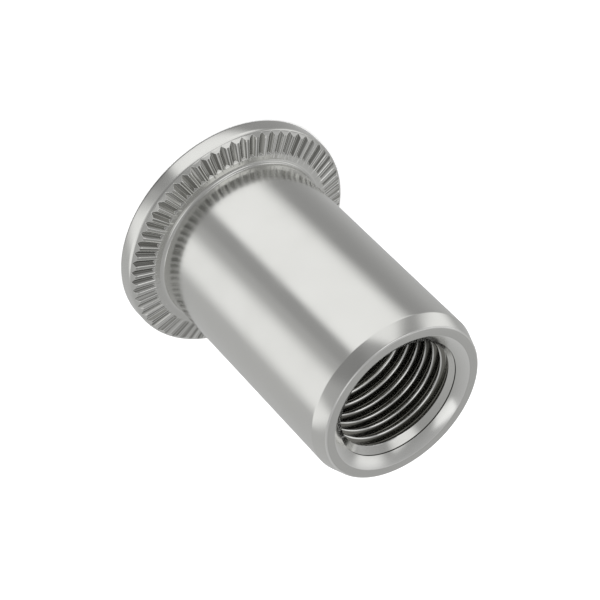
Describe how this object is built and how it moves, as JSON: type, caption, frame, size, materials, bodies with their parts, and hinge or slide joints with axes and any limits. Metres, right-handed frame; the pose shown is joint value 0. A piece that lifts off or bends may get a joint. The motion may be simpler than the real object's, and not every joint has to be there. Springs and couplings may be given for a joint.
{
  "type": "rivet nut",
  "caption": "Open-ended rivet nut with a plain round shank, an internal thread at the open end and a flat round head that is serrated underneath.",
  "frame": {"origin": "centre of the head's flat outer face, on which the part stands", "axes": "+Z along the axis from the head to the open, threaded end; X and Y across it, with a serration groove on +X"},
  "size_m": [0.015, 0.015, 0.0182],
  "materials": {
    "steel": "smooth satin, plain steel"
  },
  "bodies": {
    "root": {"rivet_nut": "steel"}
  },
  "joints": []
}
